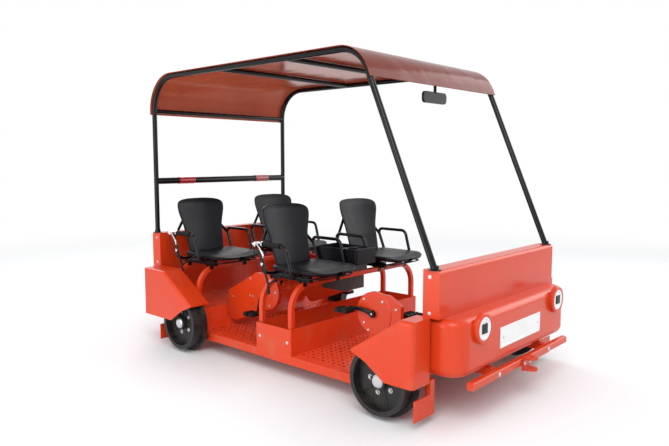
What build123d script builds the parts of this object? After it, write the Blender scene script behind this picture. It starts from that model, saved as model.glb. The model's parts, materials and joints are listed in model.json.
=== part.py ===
from build123d import *
import math
import os

os.makedirs("parts", exist_ok=True)

# Millimetres. The vehicle's front is -Y, its right side is -X, and z = 0 is under the wheel flanges.
ENDS = {"front": -1, "rear": 1}
SIDES = {"right": -1, "left": 1}

# Wheelsets
AXLE_Y = {"front": -960, "rear": 750}
TREAD_R = 175
FLANGE_H = 22
FLANGE_IN = 680
FLANGE_W = 24
TREAD_W = 72
RIM_T = 24
RECESS_IN = 38
WEB_T = 16
BOSS_R = 44
BOSS_INSET = 10
BOSS_PROUD = 12
AXLE_R = 20
AXLE_INSET = 4
RUN_FIT = 0.05
FLANGE_R = TREAD_R + FLANGE_H
TREAD_OUT = FLANGE_IN + FLANGE_W + TREAD_W
AXLE_HALF = TREAD_OUT - AXLE_INSET

# Platform: a low foot well between ledges that pass over the axles
FLOOR_Z = 135
LEDGE_Z = 275
PLATE = 3
DECK_HALF = 645
WELL_FRONT = -840
WELL_REAR = 674
KICK_RUN = 26
SILL_DROP = 50
HOLE_R = (7.5, 5.5)
HOLE_PITCH = 40
HOLE_EDGE = 24
HOLE_SIDE = 70

# Frame under the platform
BEAM = 48
LOW_BEAM = 44
CROSS_W = 40
BLOCK_HALF = 46
BLOCK_W = 40
BLOCK_R = 40

# Tray under the front seats
TRAY_FRONT = -212
TRAY_REAR = 97
TRAY_TOP = 298

# Body ends
BODY_HALF = 650
BULK_Y = 1150
BULK_T = 4
BULK_LOW = 240
FACE_Y = 1240
FAIRING_Y = 1350
CREASE_Z = 536
BODY_TOP = 775
SKIN = 4
TOP_ROUND = 20
FAIRING_HALF = 640
FAIRING_BOTTOM = 244
FAIRING_CORNER = 110
FAIRING_LOW_ROUND = 50
FAIRING_TOP_ROUND = 40
BRACKET_X = 300
BUMPER_Z = 212
BUMPER_HALF = 560
BUMPER_IN = 1347
BUMPER_T = 38
BUMPER_H = 40
PIN_R = 11

# Seats: one seat per row and side, each with its hip point on the pan's rear edge
SEAT_X = 365
HIP_Y = {"front": 70, "rear": 990}
PAN_HALF = 205
PAN_FRONT = 430
PAN_BACK = 10
PAN_Z = 644
PAN_RIM_Z = 662
PAN_LOW_Z = 610
PAN_CORNER = 60
BACK_LEAN = 14
BACK_T = 20
BACK_BEND_R = 600
LOOP_HALF = 243
LOOP_FRONT = 252
LOOP_BACK = 50
LOOP_LOW = -24
ARM_Z = 785
ARM_FRONT = 205
CROSS_Z = 612
TUBE_R = 11

# Hoops and seat rails
HOOP = 32
HOOP_CORNER = 5
HOOP_TOP = 570
HOOP_BEND = 150
HOOP_HALF = 616
HOOP_FROM_HIP = (2, -257)
RAIL_OUT = 150
RAIL_W = 24
RAIL_H = 14
RAIL_FRONT = 330
RAIL_BACK = 30
SHOE_GAP = 0.5

# Cranks
HUB_Z = 428
HUB_BACK = 720
CRANK_LEN = 160
CRANK_DEG = {"front": 4, "rear": -68}
CASE_R = 125
CASE_OUT = 45
CASE_T = 36
CASE_ROUND = 6
COVER_R = 117
COVER_INSET = 4
SHELL_R = 22
SHELL_IN = 34
COVER_TOP = {"front": 505, "rear": 391}
COVER_SHOULDER = (95, 520, 25)
COVER_LOW = 177
COVER_ROUND = 65
SPINDLE_R = 10
ARM_T = 12
ARM_GAP = 5.5
PEDAL_PIN_R = 6
PEDAL_IN = 74
PEDAL_OUT = 160
PEDAL_HALF = 46
PEDAL_T = 24

# Roof
POST_X = 632
POST_R = 17
ROOF_Z = 1885
POST_REAR_Y = 1200
POST_FRONT_Y = -1200
ROOF_FRONT_Y = -728
BEND_REAR = 230
BEND_FRONT = 200
SHEET_T = 3
SHEET_HALF = 656
SHEET_HEM_Z = 1628
SHEET_FRONT = 190
RIB_R = 16
HEM_R = 15
FRONT_BAR_Z = 1752
CROSS_BAR_Z = 1152
CROSS_BAR_R = 24

NODES = {}


def keep(name, *solids):
    NODES[name] = Compound(children=list(solids)) if len(solids) > 1 else solids[0]


def box(x0, x1, y0, y1, z0, z1):
    """A box between two corners, in any order along Y."""
    return Pos((x0 + x1) / 2, (y0 + y1) / 2, (z0 + z1) / 2) * Box(x1 - x0, abs(y1 - y0), z1 - z0)


def rod(p, q, r):
    a = Vector(*p)
    d = Vector(*q) - a
    frame = Plane(origin=a, z_dir=d.normalized())
    return frame * Cylinder(r, d.length, align=(Align.CENTER, Align.CENTER, Align.MIN))


def rod_x(x0, x1, y, z, r):
    return rod((min(x0, x1), y, z), (max(x0, x1), y, z), r)


def bent_path(points, bends):
    """Straight runs through the points with an arc of each bend radius at each inner point."""
    pts = [Vector(*p) for p in points]
    edges = []
    start = pts[0]
    for i in range(1, len(pts) - 1):
        a = (pts[i - 1] - pts[i]).normalized()
        b = (pts[i + 1] - pts[i]).normalized()
        half = math.radians(a.get_angle(b)) / 2
        cut = bends[i - 1] / math.tan(half)
        p = pts[i] + a * cut
        q = pts[i] + b * cut
        centre = pts[i] + (a + b).normalized() * (bends[i - 1] / math.sin(half))
        mid = centre + (pts[i] - centre).normalized() * bends[i - 1]
        edges.append(Edge.make_line(start, p))
        edges.append(Edge.make_three_point_arc(p, mid, q))
        start = q
    edges.append(Edge.make_line(start, pts[-1]))
    return Wire(edges)


def tube(points, bends, r):
    d = Vector(*points[1]) - Vector(*points[0])
    section = Plane(origin=Vector(*points[0]), z_dir=d.normalized()) * Circle(r)
    return sweep(section, path=bent_path(points, bends))


def prism_x(yz, x0, x1):
    face = Plane.YZ.offset(x0) * make_face(Polyline(*yz, close=True))
    return extrude(face, x1 - x0)


def both_sides(solid):
    return [solid, mirror(solid, about=Plane.YZ)]


def both_ends(solid):
    return [solid, mirror(solid, about=Plane.XZ)]


# Wheelsets: each axle turns in four bearing blocks under the frame
def wheel(side, y):
    def disc(x0, x1, r):
        return rod_x(side * x0, side * x1, y, FLANGE_R, r)
    web_in = FLANGE_IN + RECESS_IN
    boss_in = FLANGE_IN - BOSS_PROUD
    body = disc(FLANGE_IN, FLANGE_IN + FLANGE_W, FLANGE_R) + disc(FLANGE_IN, TREAD_OUT, TREAD_R)
    body -= disc(FLANGE_IN - 1, web_in, TREAD_R - RIM_T)
    body -= disc(web_in + WEB_T, TREAD_OUT + 1, TREAD_R - RIM_T)
    body += disc(boss_in, TREAD_OUT - BOSS_INSET, BOSS_R)
    return body - disc(boss_in - 1, TREAD_OUT + 1, AXLE_R)


def bearing_block(y):
    x1 = DECK_HALF - 5
    x0 = x1 - BLOCK_W
    top = LEDGE_Z - PLATE - BEAM
    block = box(x0, x1, y - BLOCK_HALF, y + BLOCK_HALF, FLOOR_Z - PLATE, top) + rod_x(x0, x1, y, FLANGE_R, BLOCK_R)
    block -= box(x0 - 1, x1 + 1, y - BLOCK_HALF - 9, y + BLOCK_HALF + 9, top, top + BLOCK_R)
    return block - rod_x(x0 - 1, x1 + 1, y, FLANGE_R, AXLE_R + RUN_FIT)


# Frame: low beams beside the foot wells, raised beams under the ledges, and a bracket for each bumper
def underframe():
    low = (FLOOR_Z - PLATE - LOW_BEAM, FLOOR_Z - PLATE)
    high = (LEDGE_Z - PLATE - BEAM, LEDGE_Z - PLATE)
    half = DECK_HALF - PLATE
    wall = BULK_Y - BULK_T
    frame = box(-half, half, TRAY_REAR - 37, TRAY_REAR + 3, *low)
    frame += box(-half, half, WELL_REAR, WELL_REAR + CROSS_W, *low)
    frame += box(-half, half, WELL_FRONT - CROSS_W, WELL_FRONT, *low)
    for s in SIDES.values():
        x0, x1 = sorted((s * (half - BEAM + PLATE), s * half))
        frame += box(x0, x1, AXLE_Y["front"] - BLOCK_HALF, AXLE_Y["rear"] + BLOCK_HALF, *low)
        frame += box(x0, x1, WELL_REAR + KICK_RUN + 8, wall, *high)
        frame += box(x0, x1, -wall, WELL_FRONT - KICK_RUN - 8, *high)
    for e in ENDS.values():
        frame += box(-half, half, e * (wall - CROSS_W), e * wall, *high)
        for s in SIDES.values():
            x = s * BRACKET_X
            frame += box(x - 20, x + 20, e * (wall - CROSS_W), e * BUMPER_IN, BUMPER_Z - 12, BUMPER_Z + 28)
    return frame


def hole_rows(y0, y1):
    """Centres and radii of the floor's holes between two walls: a square grid, large and small by turns."""
    count = int((DECK_HALF - HOLE_SIDE) // HOLE_PITCH)
    rows = int((y1 - y0 - 2 * HOLE_EDGE) // HOLE_PITCH)
    return [(i * HOLE_PITCH, y1 - HOLE_EDGE - k * HOLE_PITCH, HOLE_R[(i + k) % 2])
            for i in range(-count, count + 1) for k in range(rows + 1)]


hub_y = {row: hip - HUB_BACK for row, hip in HIP_Y.items()}


def floor_plate():
    low = FLOOR_Z - PLATE
    places = hole_rows(WELL_FRONT, TRAY_FRONT) + hole_rows(TRAY_FRONT, TRAY_REAR) + hole_rows(TRAY_REAR, WELL_REAR)
    corners = [(-DECK_HALF, WELL_FRONT), (DECK_HALF, WELL_FRONT), (DECK_HALF, WELL_REAR), (-DECK_HALF, WELL_REAR)]
    rim = Wire.make_polygon([(x, y, low) for x, y in corners], close=True)
    holes = [Wire.make_circle(r, Plane(origin=(x, y, low))) for x, y, r in places]
    return extrude(Face(rim, holes), amount=PLATE, dir=(0, 0, 1))


def ledge(end):
    """The sloping kick wall at a foot well's end and the level ledge over the axle behind it."""
    e = ENDS[end]
    foot = WELL_REAR if e > 0 else WELL_FRONT
    low, top, wall = FLOOR_Z - PLATE, LEDGE_Z, BULK_Y - BULK_T
    back = PLATE * math.hypot(KICK_RUN, LEDGE_Z - FLOOR_Z) / (LEDGE_Z - FLOOR_Z)
    return prism_x([(foot, low), (foot, FLOOR_Z), (foot + e * KICK_RUN, top), (e * wall, top), (e * wall, top - PLATE),
                    (foot + e * (KICK_RUN + back), top - PLATE), (foot + e * back, low)], -DECK_HALF, DECK_HALF)


def sills():
    return both_sides(box(DECK_HALF - PLATE, DECK_HALF, WELL_FRONT, WELL_REAR, FLOOR_Z - SILL_DROP, FLOOR_Z - PLATE))


def tray():
    """Walls round the hoops of the front seats, standing on the floor."""
    outer = box(-DECK_HALF, DECK_HALF, TRAY_FRONT, TRAY_REAR, FLOOR_Z, TRAY_TOP)
    inner = DECK_HALF - PLATE
    return outer - box(-inner, inner, TRAY_FRONT + PLATE, TRAY_REAR - PLATE, FLOOR_Z - 1, TRAY_TOP + 1)


def hoop(y, foot):
    """A square tube bent into an arch across the vehicle, its feet on the platform."""
    top = HOOP_TOP - HOOP / 2
    path = bent_path([(-HOOP_HALF, y, foot), (-HOOP_HALF, y, top), (HOOP_HALF, y, top), (HOOP_HALF, y, foot)],
                     [HOOP_BEND, HOOP_BEND])
    start = Plane(origin=(-HOOP_HALF, y, foot), x_dir=(1, 0, 0), z_dir=(0, 0, 1))
    return sweep(start * RectangleRounded(HOOP, HOOP, HOOP_CORNER), path=path)


def seat_rail(x, hip):
    return box(x - RAIL_W / 2, x + RAIL_W / 2, hip - RAIL_FRONT, hip + RAIL_BACK, HOOP_TOP, HOOP_TOP + RAIL_H)


# Body ends: flat upper panel, bulging lower fairing and the wall behind them
def end_upper():
    def panel(inset, start):
        block = box(inset - BODY_HALF, BODY_HALF - inset, BULK_Y - start, FACE_Y - inset, CREASE_Z - start,
                    BODY_TOP - inset)
        far = block.edges().filter_by(Axis.X).sort_by(lambda e: e.center().Y + e.center().Z)[-1:]
        return fillet(far, TOP_ROUND - inset)
    wall = box(-BODY_HALF, BODY_HALF, BULK_Y - BULK_T, BULK_Y, BULK_LOW, BODY_TOP)
    return panel(0, 0) - panel(SKIN, 5) + wall


def fairing():
    def block(inset):
        low, top = FAIRING_BOTTOM + inset, CREASE_Z - inset
        out = box(inset - FAIRING_HALF, FAIRING_HALF - inset, BULK_Y - 2 * inset, FAIRING_Y - inset, low, top)
        out = fillet([e for e in out.edges().filter_by(Axis.Z) if e.center().Y > FACE_Y], FAIRING_CORNER - inset)
        for z, r in ((low, FAIRING_LOW_ROUND), (top, FAIRING_TOP_ROUND)):
            rim = [e for e in out.edges() if e.center().Y > BULK_Y + 1 and abs(e.center().Z - z) < 0.5]
            out = fillet(rim, r - inset)
        return out
    return block(0) - block(SKIN)


# Fenders over the wheels, wedge-ended towards the foot wells
FENDER_OVER = 19
FENDER_T = 3
FENDER_ROUND = 20
FENDER_TOP = 540
FENDER_LOW = 212
FENDER_TIP = (-158, 332)
FENDER_SLOPE_END = 148
FENDER_FAR = {"front": 232, "rear": 390}


def fender(end):
    """A hollow cover open below, with a sloping face that starts in front of its wheel."""
    e, c = ENDS[end], AXLE_Y[end]
    tip, tip_z = FENDER_TIP
    out = TREAD_OUT + FENDER_OVER

    def profile(g):
        raw = [(tip + 2 * g, tip_z - 3 * g), (tip + 1.3 * g, tip_z + 12 - g), (FENDER_SLOPE_END + 0.3 * g, FENDER_TOP - g),
               (FENDER_FAR[end] - g, FENDER_TOP - g), (FENDER_FAR[end] - g, FENDER_LOW - 4 * g),
               (60, FENDER_LOW - 4 * g), (-60, tip_z - 40 - 4 * g)]
        return [(c + e * u, z) for u, z in raw]

    def block(g, inner):
        solid = prism_x(profile(g), inner, out - g)
        return fillet([k for k in solid.edges() if k.center().X > out - g - 1 and k.center().Z > tip_z + 10],
                      FENDER_ROUND - g)
    shape = block(0, DECK_HALF) - block(FENDER_T, DECK_HALF + FENDER_T)
    shape -= rod_x(DECK_HALF - 5, DECK_HALF + 5, c, FLANGE_R, 60)
    return shape - box(DECK_HALF - 5, BODY_HALF + 1, e * (BULK_Y - 5), e * (FACE_Y + 60), FENDER_LOW - 90, FENDER_TOP + 60)


# Lamps on the fairings: a raised bezel, a disc in it and a square centre
LAMP_X = 440
LAMP_Z = 477
LAMP_R = 79
LAMP_PROUD = 26
LAMP_RIM = 18
LAMP_SEAT = 12
DISC_T = 8
PUPIL = 48
PUPIL_T = 5


def lamp_bezel(x):
    bezel = rod((x, FAIRING_Y, LAMP_Z), (x, FAIRING_Y + LAMP_PROUD, LAMP_Z), LAMP_R)
    bezel = fillet(bezel.edges().sort_by(Axis.Y)[-1:], 10)
    return bezel - rod((x, FAIRING_Y + LAMP_SEAT, LAMP_Z), (x, FAIRING_Y + LAMP_PROUD + 5, LAMP_Z), LAMP_R - LAMP_RIM)


def lamp_disc(x):
    y = FAIRING_Y + LAMP_SEAT
    return rod((x, y, LAMP_Z), (x, y + DISC_T, LAMP_Z), LAMP_R - LAMP_RIM - 0.5)


def lamp_pupil(x):
    y = FAIRING_Y + LAMP_SEAT + DISC_T
    half = PUPIL / 2
    return box(x - half, x + half, y, y + PUPIL_T, LAMP_Z - half, LAMP_Z + half)


# Bumper bars with a coupler bracket: a pin drops through its two ears
EAR_R = 40
EAR_T = 8
EAR_Z = (170, 230)
EAR_Y = 1412
COUPLER_Y = 1418


def bumper():
    bar = box(-BUMPER_HALF, BUMPER_HALF, BUMPER_IN, BUMPER_IN + BUMPER_T, BUMPER_Z - BUMPER_H / 2,
              BUMPER_Z + BUMPER_H / 2)
    bar = fillet(bar.edges().filter_by(Axis.X), 8)
    face = BUMPER_IN + BUMPER_T
    bar += box(-EAR_R - 5, EAR_R + 5, face, face + 10, EAR_Z[0] - 2, EAR_Z[1] + 10)
    for z in EAR_Z:
        bar += box(-EAR_R, EAR_R, face + 9, EAR_Y, z, z + EAR_T) + rod((0, EAR_Y, z), (0, EAR_Y, z + EAR_T), EAR_R)
    return bar - rod((0, COUPLER_Y, EAR_Z[0] - 20), (0, COUPLER_Y, EAR_Z[1] + 30), PIN_R)


# Tow bar stowed along the rear bumper's right half, its eye hanging down
TOW_Y = 1399
TOW_R = 12
TOW_IN = 62
TOW_OUT = 514
TOW_EYE_Z = 152


def tow_bar():
    t = TOW_R / 2
    bar = rod_x(-TOW_OUT, -TOW_IN, TOW_Y, BUMPER_Z, TOW_R)
    bar += box(-TOW_OUT - 14, -TOW_OUT + 14, TOW_Y - t, TOW_Y + t, TOW_EYE_Z, BUMPER_Z + 14)
    bar += rod((-TOW_OUT, TOW_Y - t, TOW_EYE_Z), (-TOW_OUT, TOW_Y + t, TOW_EYE_Z), 2 * TOW_R)
    bar -= rod((-TOW_OUT, TOW_Y - 20, TOW_EYE_Z), (-TOW_OUT, TOW_Y + 20, TOW_EYE_Z), PIN_R)
    for x in (-TOW_IN - 3, -BRACKET_X - 23):
        bar += box(x - 7, x + 7, BUMPER_IN + BUMPER_T, TOW_Y + TOW_R, BUMPER_Z - 12, BUMPER_Z + 12)
    return bar


# Rail guards: a plate just over each rail outside every wheel, hung from the frame
GUARD_Z = (46, 152)
GUARD_T = 8
GUARD_AHEAD = 26


def rail_guard(end):
    e = ENDS[end]
    near = AXLE_Y[end] + e * (FLANGE_R + GUARD_AHEAD)
    far = near + e * GUARD_T
    inner, outer = DECK_HALF - 42, TREAD_OUT - 3
    root = min(abs(near), BULK_Y - BULK_T - CROSS_W + 4) * e - e * 30
    guard = box(inner, outer, near, far, *GUARD_Z)
    guard += box(inner, DECK_HALF - 5, far, root, LEDGE_Z - PLATE - BEAM - 28, LEDGE_Z - PLATE - BEAM)
    return guard + box(inner, DECK_HALF - 5, far, near - e * 24, GUARD_Z[1] - 42, LEDGE_Z - PLATE - BEAM - 14)


# Crank cases: a disc beside each crank's bearing shell, and a flat drive cover that runs back to the kick wall
def crank_case(row, side):
    s, e = SIDES[side], ENDS[row]
    x, y, end = s * SEAT_X, hub_y[row], WELL_REAR if e > 0 else WELL_FRONT

    def span(a, b):
        return sorted((x + s * a, x + s * b))
    case_in = CASE_OUT - CASE_T
    disc = rod_x(*span(case_in, CASE_OUT), y, HUB_Z, CASE_R)
    disc = fillet(disc.edges().filter_by(GeomType.CIRCLE), CASE_ROUND)
    back, high, r = COVER_SHOULDER
    rounds = [(y, HUB_Z, COVER_R), (y + e * back, high, r), (end - e * 20, COVER_TOP[row] - 20, 20),
              (end - e * COVER_ROUND, COVER_LOW + COVER_ROUND, COVER_ROUND)]
    outline = make_hull([Pos(a, b) * Edge.make_circle(c) for a, b, c in rounds])
    x0, x1 = span(case_in + COVER_INSET, CASE_OUT - COVER_INSET)
    cover = extrude(Plane.YZ.offset(x0) * outline, x1 - x0)
    cover = fillet(cover.faces().filter_by(Axis.X).edges(), CASE_ROUND - 2)

    def slope(z):
        return end + e * KICK_RUN * (z - FLOOR_Z) / (LEDGE_Z - FLOOR_Z)
    low = COVER_LOW + 35
    root = prism_x([(end - e * 6, low), (slope(low), low), (slope(LEDGE_Z), LEDGE_Z), (end - e * 6, LEDGE_Z)],
                   x0, x1)
    shell = rod_x(*span(-SHELL_IN, case_in + 1), y, HUB_Z, SHELL_R)
    return disc + cover + root + shell - rod_x(x - 60, x + 60, y, HUB_Z, SPINDLE_R + RUN_FIT)


def crank_arm(x0, x1, y, z, dy, dz):
    """A tapered flat arm from the spindle to the pedal pin."""
    ang = math.atan2(dz, dy)
    ny, nz = -math.sin(ang), math.cos(ang)
    quad = [(y + ny * 17, z + nz * 17), (y - ny * 17, z - nz * 17),
            (y + dy - ny * 13, z + dz - nz * 13), (y + dy + ny * 13, z + dz + nz * 13)]
    return rod_x(x0, x1, y, z, 20) + rod_x(x0, x1, y + dy, z + dz, 15) + prism_x(quad, x0, x1)


def pedal(x0, x1, y, z):
    block = box(x0, x1, y - PEDAL_HALF, y + PEDAL_HALF, z - PEDAL_T / 2, z + PEDAL_T / 2)
    block = fillet(block.edges().filter_by(Axis.X), 6)
    return block - rod_x(x0 - 5, x1 + 5, y, z, PEDAL_PIN_R + RUN_FIT)


def crank_set(row, side):
    """The crank with its two arms, and a pedal on each. The outer arm stands at CRANK_DEG from level."""
    s = SIDES[side]
    x, y = s * SEAT_X, hub_y[row]
    ang = math.radians(CRANK_DEG[row])
    arm_in = CASE_OUT + ARM_GAP
    crank = rod_x(x - arm_in - ARM_T, x + arm_in + ARM_T, y, HUB_Z, SPINDLE_R)
    for place, t, k in (("outer", s, 1), ("inner", -s, -1)):
        dy, dz = k * CRANK_LEN * math.cos(ang), k * CRANK_LEN * math.sin(ang)
        x0, x1 = sorted((x + t * arm_in, x + t * (arm_in + ARM_T)))
        crank += crank_arm(x0, x1, y, HUB_Z, dy, dz)
        crank += rod_x(x + t * (arm_in + ARM_T / 2), x + t * (PEDAL_OUT + 5), y + dy, HUB_Z + dz, PEDAL_PIN_R)
        p0, p1 = sorted((x + t * PEDAL_IN, x + t * PEDAL_OUT))
        keep("_".join((row, side, place, "pedal")), pedal(p0, p1, y + dy, HUB_Z + dz))
    keep("_".join((row, side, "crank")), crank)


# Seats: a dished pan and a winged back, bent about an upright axis in front of it
BACK_OUTLINE = [(150, 0), (152, 100), (158, 180), (176, 250), (190, 315), (184, 365), (150, 402), (70, 416)]
BACK_STEP = 26
BACK_DROP = 20
BACK_REACH = 66


def seat_pan(x, hip):
    pan = box(x - PAN_HALF, x + PAN_HALF, hip - PAN_FRONT, hip + PAN_BACK, PAN_LOW_Z, PAN_RIM_Z)
    pan = fillet(pan.edges().filter_by(Axis.Z), PAN_CORNER)
    pan = fillet(pan.edges().group_by(Axis.Z)[0], 14)
    dish = PAN_RIM_Z - PAN_Z
    r = (PAN_HALF ** 2 + dish ** 2) / (2 * dish)
    return pan - rod((x, hip - PAN_FRONT - 5, PAN_Z + r), (x, hip + PAN_BACK + 5, PAN_Z + r), r)


def seat_back(x, hip):
    tilt = math.radians(BACK_LEAN)
    face = Plane(origin=(x, hip - PAN_BACK - 8, PAN_Z - BACK_DROP), x_dir=(1, 0, 0),
                 z_dir=(0, -math.cos(tilt), math.sin(tilt)))
    edge = Spline(*BACK_OUTLINE, *[(-a, b) for a, b in reversed(BACK_OUTLINE)])
    base = Line((-BACK_OUTLINE[0][0], 0), (BACK_OUTLINE[0][0], 0))
    block = extrude(face.offset(-BACK_STEP) * make_face(Curve() + [edge, base]), amount=BACK_REACH)
    axis = Plane(origin=face.origin + face.z_dir * BACK_BEND_R, z_dir=face.y_dir)
    length = 3 * BACK_OUTLINE[-1][1]
    return block & (axis * (Cylinder(BACK_BEND_R + BACK_T, length) - Cylinder(BACK_BEND_R, length + 9)))


def leg_point(hip, z):
    """Where the armrest's rear leg, which leans, passes a height."""
    share = (ARM_Z - z) / (ARM_Z - CROSS_Z + 10)
    return hip + LOOP_BACK - share * (LOOP_BACK - LOOP_LOW), z


def seat_frame(x, hip):
    """One bent tube each side that is armrest, leg and cross tube, a tube behind the back, and base bars."""
    front, back, low = hip - LOOP_FRONT, hip + LOOP_BACK, hip + LOOP_LOW
    rear_z = CROSS_Z - 10
    half = tube([(x, front, CROSS_Z), (x - LOOP_HALF, front, CROSS_Z), (x - LOOP_HALF, hip - ARM_FRONT, ARM_Z),
                 (x - LOOP_HALF, back, ARM_Z), (x - LOOP_HALF, low, rear_z), (x, low, rear_z)],
                [35, 45, 28, 35], TUBE_R)
    frame = half + mirror(half, about=Plane.YZ.offset(x))
    high, mid = (hip + 86, 924), leg_point(hip, 745)
    frame += tube([(x - LOOP_HALF, *mid), (x - 95, *high), (x + 95, *high), (x + LOOP_HALF, *mid)], [50, 50], TUBE_R - 1)
    for out in (-RAIL_OUT, RAIL_OUT):
        frame += rod((x + out, front, CROSS_Z - 4), (x + out, low, rear_z), TUBE_R - 2)
        frame += box(x + out - 15, x + out + 15, hip - 320, hip - 40, HOOP_TOP + RAIL_H + SHOE_GAP, CROSS_Z - 6)
    return frame


# Brake on the right-hand seats: lever set at the armrest's rear corner, and a cable to a sleeve on a hanger
SLEEVE = {"front": (30, 487), "rear": (19, 505)}
SLEEVE_R = 11
SLEEVE_LEN = 58
SLEEVE_BACK = 80


def brake_lever(x, hip):
    head = box(x - 50, x - 14, hip - 5, hip + 52, ARM_Z - 14, ARM_Z + 18)
    head = fillet(head.edges(), 6)
    head += rod((x, hip - 4, ARM_Z), (x, hip + 8, ARM_Z), TUBE_R + 6) - rod((x, hip - 9, ARM_Z), (x, hip + 12, ARM_Z), TUBE_R)
    return head + tube([(x - 36, hip + 10, ARM_Z + 2), (x - 44, hip - 22, ARM_Z - 8), (x - 44, hip - 55, ARM_Z - 62)],
                       [30], 6)


def brake_bracket(x, hip, row):
    out, low = SLEEVE[row]
    top = low + SLEEVE_LEN
    sx, sy = x - out, hip - SLEEVE_BACK
    part = rod((x - 3, *leg_point(hip, ARM_Z - 120)), (sx, sy, top), 7)
    part += rod((sx, sy, top), (x, hip - LOOP_FRONT + 12, CROSS_Z + 42), 6)
    part += rod((sx, sy, top - SLEEVE_LEN), (sx, sy, top + 6), SLEEVE_R)
    return part + tube([(x - 32, hip + 45, ARM_Z - 2), (x - 30, hip + 32, ARM_Z - 110), (sx, sy, top + 4)], [90], 4)


# Console between the front seats: an open tray with cup holes, and a bin hung below it
CONSOLE_HALF = 105
CONSOLE_Y = (-262, 98)
CONSOLE_Z = (622, 722)
CONSOLE_WALL = 8
TRAY_CUT = (-112, 634)
CUP_R = 40
CUP_AT = (50, -187, 640)
BIN_HALF = 100
BIN_Y = (-160, 46)
BIN_LOW = 440
BIN_WALL = 6


def console():
    w = CONSOLE_WALL
    body = box(-CONSOLE_HALF, CONSOLE_HALF, *CONSOLE_Y, *CONSOLE_Z)
    body = fillet(body.edges().filter_by(Axis.Z), 14)
    body -= box(w - CONSOLE_HALF, CONSOLE_HALF - w, TRAY_CUT[0], CONSOLE_Y[1] - w, TRAY_CUT[1], CONSOLE_Z[1] + w)
    cup_x, cup_y, cup_z = CUP_AT
    for x in (-cup_x, cup_x):
        body -= rod((x, cup_y, cup_z), (x, cup_y, CONSOLE_Z[1] + w), CUP_R)
    return body


def console_bin():
    w, top = BIN_WALL, CONSOLE_Z[0]
    body = box(-BIN_HALF, BIN_HALF, *BIN_Y, BIN_LOW, top)
    body -= box(w - BIN_HALF, BIN_HALF - w, BIN_Y[0] + w, BIN_Y[1] - w, BIN_LOW + w, top - 22)
    body -= box(-BIN_HALF + 20, BIN_HALF - 20, BIN_Y[1] - 16, BIN_Y[1] + 14, BIN_LOW + 60, top - 32)
    for off in HOOP_FROM_HIP:
        y = HIP_Y["front"] + off
        body += box(-BIN_HALF + 10, BIN_HALF - 10, y - 8, y + 8, HOOP_TOP, top)
        body += box(-BIN_HALF + 10, BIN_HALF - 10, y, 0, top - w, top)
    return body


# Roof: side tubes that are also the posts, ribs between them and the sheet over both
def roof_side(x):
    side = tube([(x, POST_REAR_Y, BODY_TOP), (x, POST_REAR_Y, ROOF_Z), (x, ROOF_FRONT_Y, ROOF_Z),
                 (x, POST_FRONT_Y, BODY_TOP)], [BEND_REAR, BEND_FRONT], POST_R)
    return side - box(x - 40, x + 40, POST_FRONT_Y - 40, POST_FRONT_Y + 40, BODY_TOP - 60, BODY_TOP)


def between_posts(y, z, r, posts):
    """A bar across the vehicle, cut to the posts' faces."""
    bar = rod_x(-POST_X, POST_X, y, z, r)
    for post in posts:
        bar -= post
    return bar.solids().sort_by(lambda s: s.volume)[-1]


def roof_path(out):
    """The roof's side profile moved outwards by out, from the rear hem to the front hem."""
    d = Vector(0, POST_FRONT_Y - ROOF_FRONT_Y, BODY_TOP - ROOF_Z).normalized()
    n = Vector(0, d.Z, -d.Y)
    top = ROOF_Z + out
    corner_y = ROOF_FRONT_Y + n.Y * out + d.Y * (top - (ROOF_Z + n.Z * out)) / d.Z
    front = Vector(0, corner_y, top) + d * SHEET_FRONT
    pts = [(0, POST_REAR_Y + out, SHEET_HEM_Z), (0, POST_REAR_Y + out, top), (0, corner_y, top), (0, front.Y, front.Z)]
    return bent_path(pts, [BEND_REAR + out, BEND_FRONT + out])


def roof_sheet():
    low, high = roof_path(POST_R), roof_path(POST_R + SHEET_T)
    hems = [Edge.make_line(low @ 0, high @ 0), Edge.make_line(low @ 1, high @ 1)]
    face = Face(Wire(low.edges() + high.edges() + hems))
    return extrude(Pos(-SHEET_HALF, 0, 0) * face, amount=2 * SHEET_HALF, dir=(1, 0, 0))


# Mirror under the front bar
MIRROR_HALF = 120
MIRROR_H = 66
MIRROR_T = 16
MIRROR_DROP = 52


def mirror_body(y):
    top = FRONT_BAR_Z - MIRROR_DROP
    body = box(-MIRROR_HALF, MIRROR_HALF, y + 6, y + 6 + MIRROR_T, top - MIRROR_H, top)
    body = fillet(body.edges().filter_by(Axis.Y), 24)
    body += rod((0, y + 10, top - 8), (0, y + 10, FRONT_BAR_Z - 4), 9)
    return body - rod_x(-50, 50, y, FRONT_BAR_Z, HEM_R)


for end, y in AXLE_Y.items():
    keep(end + "_axle", rod_x(-AXLE_HALF, AXLE_HALF, y, FLANGE_R, AXLE_R))
    keep(end + "_wheels", wheel(-1, y), wheel(1, y))
    keep(end + "_ledge", ledge(end))
keep("axle_boxes", *[b for y in AXLE_Y.values() for b in both_sides(bearing_block(y))])
keep("underframe", underframe())
keep("floor_pan", floor_plate())
keep("sills", *sills())
keep("front_tray", tray())
feet = {"front": FLOOR_Z, "rear": LEDGE_Z}
keep("hoops", *[hoop(hip + off, feet[row]) for row, hip in HIP_Y.items() for off in HOOP_FROM_HIP])
keep("seat_rails", *[seat_rail(s * SEAT_X + out, hip) for hip in HIP_Y.values() for s in SIDES.values()
                     for out in (-RAIL_OUT, RAIL_OUT)])

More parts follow.
